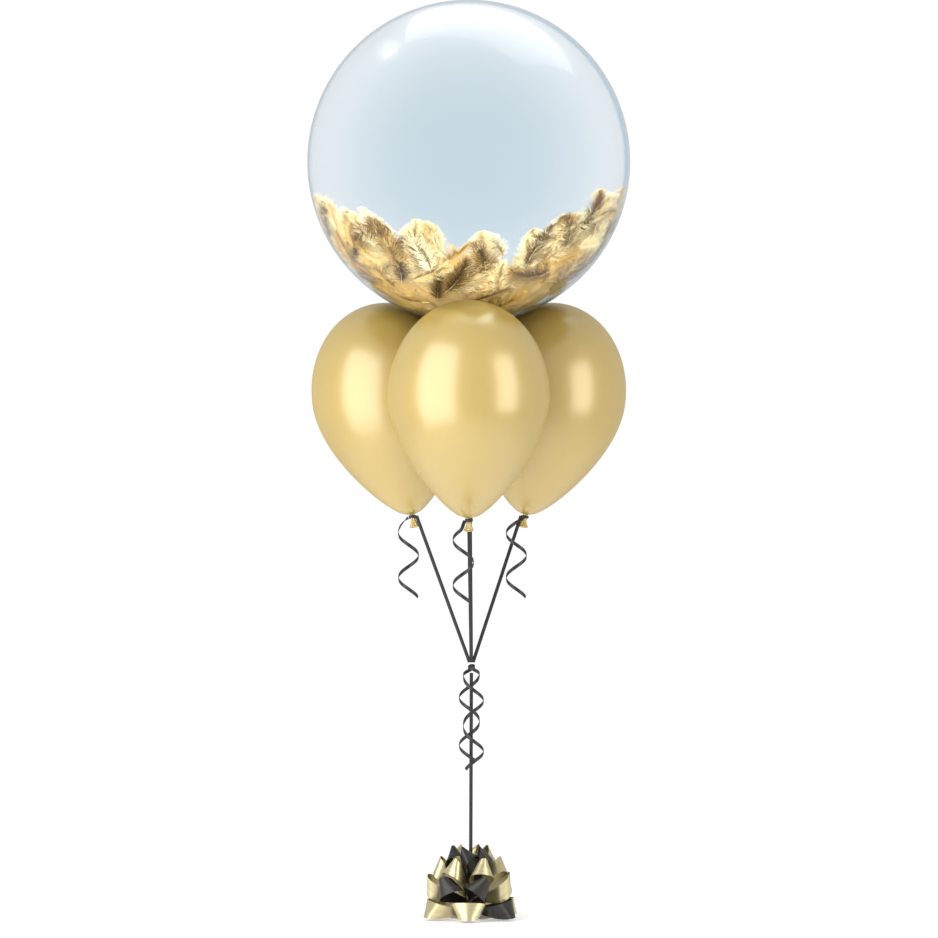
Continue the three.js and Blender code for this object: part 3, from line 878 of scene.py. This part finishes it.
bubble_start = BUBBLE_TIE + (0, STRAND_OUT + 0.002, 0)
bubble_wind = wound(Matrix.Translation(BUBBLE_TIE), WIND_TURNS, (0.0066, 0.0096))
mesh = together("black_ribbon_bubble", [bubble_wind, straight(bubble_start, to_knot(bubble_start))])
finished("black_ribbon_bubble", mesh, curling_ribbon, "ribbon_bubble")

long_top = np.array(KNOT_PLACE) - (0, 0, KNOT_REACH)
mesh = together("black_ribbon_long", [straight(long_top, np.array([0, 0, BOW_TOP]))])
finished("black_ribbon_long", mesh, curling_ribbon, "ribbon_main")


def knot_bands():
    """The knot: four short bands of ribbon, each a ring wound tight round the strands, tilted its own way
    and nested in the next."""
    bands = []
    for tilt, spin, size in ((28, 0, 0.0062), (-32, 55, 0.0058), (62, 120, 0.0054), (-70, 200, 0.0050)):
        place = (
            Matrix.Translation(KNOT_PLACE) @ Matrix.Rotation(math.radians(spin), 4, "Z")
            @ Matrix.Rotation(math.radians(tilt), 4, "X") @ Matrix.Diagonal((1, 0.85, 1.25, 1))
        )
        bands.append(wound(place, 1.3, (size - 0.0008, size)))
    return bands


finished("black_knot", together("black_knot", knot_bands()), curling_ribbon, "ribbon_knot")

# The gift bow. Loops of 30 mm metallic satin ribbon, gold and black, stapled at their pinched ends in four
# tiers on a round card, from flat ones at the foot to nearly upright ones at the top.
CARD_RADIUS = 0.036
CARD_THICKNESS = 0.0025
LOOP_THICKNESS = 0.0005
LOOP_START = 0.009
LOOP_PINCH = 0.0009
LOOP_SWELL = 1.3
LOOP_NARROW = 0.3
LOOP_SPAN = (0.05, 0.95)
TIERS = {
    "bottom": {
        "colours": "GBGBGG", "first": -3, "rolls": (0, 8, -6, 6, -8, -7), "height": 0.0135, "out": 0.0,
        "rise": 4, "length": 0.074, "width": 0.046, "strip": 0.030, "flare": -0.28, "skew": 0.05,
    },
    "second": {
        "colours": "BGGBGGB", "first": 14, "rolls": (-42, 34, 10, -24, 10, -30, 28), "height": 0.027,
        "out": 0.0, "rise": 25, "length": 0.073, "width": 0.034, "strip": 0.030, "flare": 0.35, "skew": 0.08,
    },
    "third": {
        "colours": "GGBGGG", "first": 25, "rolls": (-12, -22, 0, -20, -14, -18), "height": 0.038,
        "out": 0.003, "rise": 46, "length": 0.069, "width": 0.030, "strip": 0.028, "flare": 0.42,
        "skew": 0.08,
    },
    "top": {
        "colours": "BBGGGB", "first": -8, "rolls": (60, 55, 50, 60, 50, 60), "height": 0.050, "out": 0.008,
        "rise": 70, "length": 0.062, "width": 0.025, "strip": 0.024, "flare": 0.5, "skew": 0.12,
    },
}


def loop_surface(tier, t, side):
    """The middle surface of a loop, lying along +X: it reaches out and back with the cosine of t, swells
    across with the sine of t times the square of the sine of its half, and the strip widens out from the
    pinch. One edge is drawn in by the flare and reaches further by the skew, as on a rolled cone."""
    reach = (1 - np.cos(t)) / 2
    out = LOOP_START + tier["length"] * reach * (1 + tier["skew"] * side * np.sign(tier["flare"]) * reach)
    swell = tier["width"] / LOOP_SWELL * np.sin(t) * np.sin(t / 2) ** 2 * (1 - tier["flare"] * side)
    strand = tier["strip"] * (LOOP_NARROW + (1 - LOOP_NARROW) * reach)
    return np.stack(np.broadcast_arrays(out, swell + LOOP_PINCH * np.cos(t / 2), strand * side / 2), axis=-1)


def loop_grid(tier):
    """The loop's two faces, half a thickness either side of the middle surface along its normal."""
    t = np.linspace(*LOOP_SPAN, 60)[:, None] * 2 * math.pi
    side = np.linspace(-1, 1, 9)[None]
    middle = loop_surface(tier, t, side)
    ahead = loop_surface(tier, t + 0.01, side) - loop_surface(tier, t - 0.01, side)
    up = loop_surface(tier, t, side + 0.01) - loop_surface(tier, t, side - 0.01)
    normal = unit(np.cross(up, ahead)) * LOOP_THICKNESS / 2
    grid = np.concatenate([middle + normal, (middle - normal)[:, ::-1]], axis=1)
    steps = np.linalg.norm(np.diff(middle[:, 4], axis=0), axis=1)
    along = np.concatenate([[0], np.cumsum(steps)])
    across = np.concatenate([np.linspace(0, 1, 9), np.linspace(1, 0, 9), [0]])
    return grid, np.stack(np.broadcast_arrays(across[None], along[:, None]), axis=-1)


def loop_place(tier, number):
    """The place of a loop: round the bow, up and out to its tier, raised, and rolled about itself."""
    turn = tier["first"] + 360 * number / len(tier["colours"]) - 90
    return (
        Matrix.Translation((0, 0, tier["height"])) @ Matrix.Rotation(math.radians(turn), 4, "Z")
        @ Matrix.Translation((tier["out"], 0, 0)) @ Matrix.Rotation(-math.radians(tier["rise"]), 4, "Y")
        @ Matrix.Rotation(math.radians(tier["rolls"][number]), 4, "X")
    )


def satin_material(name, dark, light, metallic, roughness):
    """Metallic satin: fine threads along the ribbon, streaked a little, with a gloss drawn out across
    them."""
    material, tree, shader = material_with(name)
    uv = node(tree, "ShaderNodeUVMap", {"uv_map": "UVMap"})
    ribs = use_group(tree, ribbon_ribs, Vector=uv.outputs["UV"], Ribs=34.0, Stretch=22.0)
    tone = node(tree, "ShaderNodeMapRange", Value=ribs.outputs["Streaks"], From_Min=0.3, From_Max=0.7)
    colour = node(tree, "ShaderNodeMix", {"data_type": "RGBA"}, i0=tone.outputs[0], i6=(*dark, 1),
                  i7=(*light, 1))
    bump = node(tree, "ShaderNodeBump", Height=ribs.outputs["Height"], Strength=0.25, Distance=0.00012)
    tree.links.new(colour.outputs[2], shader.inputs["Base Color"])
    tree.links.new(bump.outputs[0], shader.inputs["Normal"])
    shader.inputs["Metallic"].default_value = metallic
    shader.inputs["Roughness"].default_value = roughness
    return material


gold_satin = satin_material("gold satin", (0.48, 0.41, 0.22), (0.70, 0.63, 0.40), 0.85, 0.30)
black_satin = satin_material("black satin", (0.012, 0.011, 0.010), (0.035, 0.033, 0.030), 0.3, 0.28)
for tier_name, tier in TIERS.items():
    grid, uv = loop_grid(tier)
    for number, letter in enumerate(tier["colours"]):
        colour = "gold" if letter == "G" else "black"
        name = f"{colour}_satin_{tier_name}_{number + 1}"
        mesh = grid_mesh(name, placed(grid, loop_place(tier, number)), uv)
        finished(name, mesh, gold_satin if letter == "G" else black_satin,
                 f"{colour}_loop_{tier_name}_{number + 1}")


def card_points(columns=96):
    """A flat disc with softly rounded edges: a profile of its underside, edge arcs and top, turned."""
    soften = 0.0006
    arc = np.linspace(0, math.pi / 2, 5)
    lower = np.stack([CARD_RADIUS - soften + soften * np.sin(arc), soften - soften * np.cos(arc)], axis=1)
    upper = np.stack([CARD_RADIUS - soften + soften * np.cos(arc),
                      CARD_THICKNESS - soften + soften * np.sin(arc)], axis=1)
    profile = np.concatenate([[(0, 0)], lower, upper, [(0, CARD_THICKNESS)]])
    turn = np.linspace(0, 2 * math.pi, columns, endpoint=False)
    return np.stack([
        profile[:, :1] * np.cos(turn), profile[:, :1] * np.sin(turn),
        np.broadcast_to(profile[:, 1:], (len(profile), columns)),
    ], axis=-1)


def card_material():
    """Matt white card with a faint fibrous mottle."""
    material, tree, shader = material_with("bow card")
    place = node(tree, "ShaderNodeTexCoord")
    varied = use_group(tree, mottle, Vector=place.outputs["Object"], Colour=(0.84, 0.83, 0.80, 1),
                       Scale=220.0, Amount=0.12)
    bump = node(tree, "ShaderNodeBump", Height=varied.outputs["Mask"], Strength=0.3, Distance=0.0002)
    tree.links.new(varied.outputs["Colour"], shader.inputs["Base Color"])
    tree.links.new(bump.outputs[0], shader.inputs["Normal"])
    shader.inputs["Roughness"].default_value = 0.8
    return material


finished("bow_card", grid_mesh("bow_card", card_points(), capped=False), card_material(),
         "bow_base", 60)

# The studio: a pale floor that fades into a white surround, a large window of soft light from the left
# front for the gold and the bow, a weaker one from the right, one for the feathers, and a bank and a small
# square above and behind for the film's highlights.
FLOOR_RADIUS = 9.0
FLOOR_DROP = 0.0005
scene = bpy.context.scene
scene.view_settings.view_transform = "Standard"


def floor_material():
    """Nearly white matt floor that fades out with the distance from the middle."""
    material, tree, shader = material_with("pale floor")
    place = node(tree, "ShaderNodeTexCoord")
    far = node(tree, "ShaderNodeVectorMath", {"operation": "LENGTH"}, i0=place.outputs["Object"])
    fade = node(tree, "ShaderNodeMapRange", {"interpolation_type": "SMOOTHSTEP"}, Value=far.outputs["Value"],
                From_Min=0.35, From_Max=2.2)
    clear = node(tree, "ShaderNodeBsdfTransparent")
    mixed = node(tree, "ShaderNodeMixShader", i0=fade.outputs[0], i1=shader.outputs[0], i2=clear.outputs[0])
    tree.links.new(mixed.outputs[0], tree.nodes["Material Output"].inputs["Surface"])
    shader.inputs["Base Color"].default_value = (0.95, 0.95, 0.95, 1)
    shader.inputs["Emission Color"].default_value = (1, 1, 1, 1)
    shader.inputs["Emission Strength"].default_value = 0.28
    shader.inputs["Roughness"].default_value = 0.9
    return material


floor_turn = np.linspace(0, 2 * math.pi, 96, endpoint=False)
floor_ring = np.stack([FLOOR_RADIUS * np.cos(floor_turn), FLOOR_RADIUS * np.sin(floor_turn),
                       np.full(96, -FLOOR_DROP)], axis=1)
floor_mesh = bpy.data.meshes.new("floor")
floor_mesh.from_pydata(floor_ring, [], [list(range(96))])
floor_mesh.materials.append(floor_material())
floor = bpy.data.objects.new("floor", floor_mesh)
scene.collection.objects.link(floor)
floor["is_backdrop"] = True

film_only = bpy.data.collections.new("film only")
down_only = bpy.data.collections.new("down only")
rigid_pieces = bpy.data.collections.new("rigid pieces")
for piece in [*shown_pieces(), floor]:
    if piece is clear_bubble:
        film_only.objects.link(piece)
    elif "feathers" in piece.name or piece is heap:
        down_only.objects.link(piece)
    else:
        rigid_pieces.objects.link(piece)


def soft_light(name, place, target, size, power, receivers, colour=(1, 1, 1)):
    """A rectangular area light at a place, turned to its target, that lights only its receivers."""
    data = bpy.data.lights.new(name, "AREA")
    data.shape = "RECTANGLE"
    data.size, data.size_y = size
    data.energy = power
    data.color = colour
    lamp = bpy.data.objects.new(name, data)
    lamp.location = place
    lamp.rotation_euler = (Vector(target) - Vector(place)).to_track_quat("-Z", "Y").to_euler()
    scene.collection.objects.link(lamp)
    lamp.light_linking.receiver_collection = receivers


soft_light("window left", (-1.75, -1.7, 1.1), (0, 0, 0.95), (2.6, 4.2), 90, rigid_pieces)
soft_light("fill right", (2.3, -1.7, 1.2), (0, 0, 0.9), (1.6, 2.8), 38, rigid_pieces, (1.0, 0.95, 0.86))
soft_light("feather light", (-0.35, -2.8, 1.5), (0, 0, 1.12), (2.2, 2.0), 300, down_only, (1.0, 0.95, 0.88))
soft_light("bank above", (0.5, 1.0, 4.05), (0, 0, 1.3), (3.8, 2.4), 72, film_only)
soft_light("round spot", (-1.67, 0.70, 3.69), (0, 0, 1.3), (0.34, 0.34), 6.5, film_only)

world = bpy.data.worlds.new("white surround")
scene.world = world
world.use_nodes = True
surround = world.node_tree
background = surround.nodes["Background"]
sight = node(surround, "ShaderNodeLightPath")
seen = node(surround, "ShaderNodeMath", {"operation": "MAXIMUM"}, i0=sight.outputs["Is Camera Ray"],
            i1=sight.outputs["Is Transmission Ray"])
brightness = node(surround, "ShaderNodeMapRange", Value=seen.outputs[0], To_Min=0.68, To_Max=1.02)
surround.links.new(brightness.outputs[0], background.inputs["Strength"])
background.inputs["Color"].default_value = (1, 1, 1, 1)
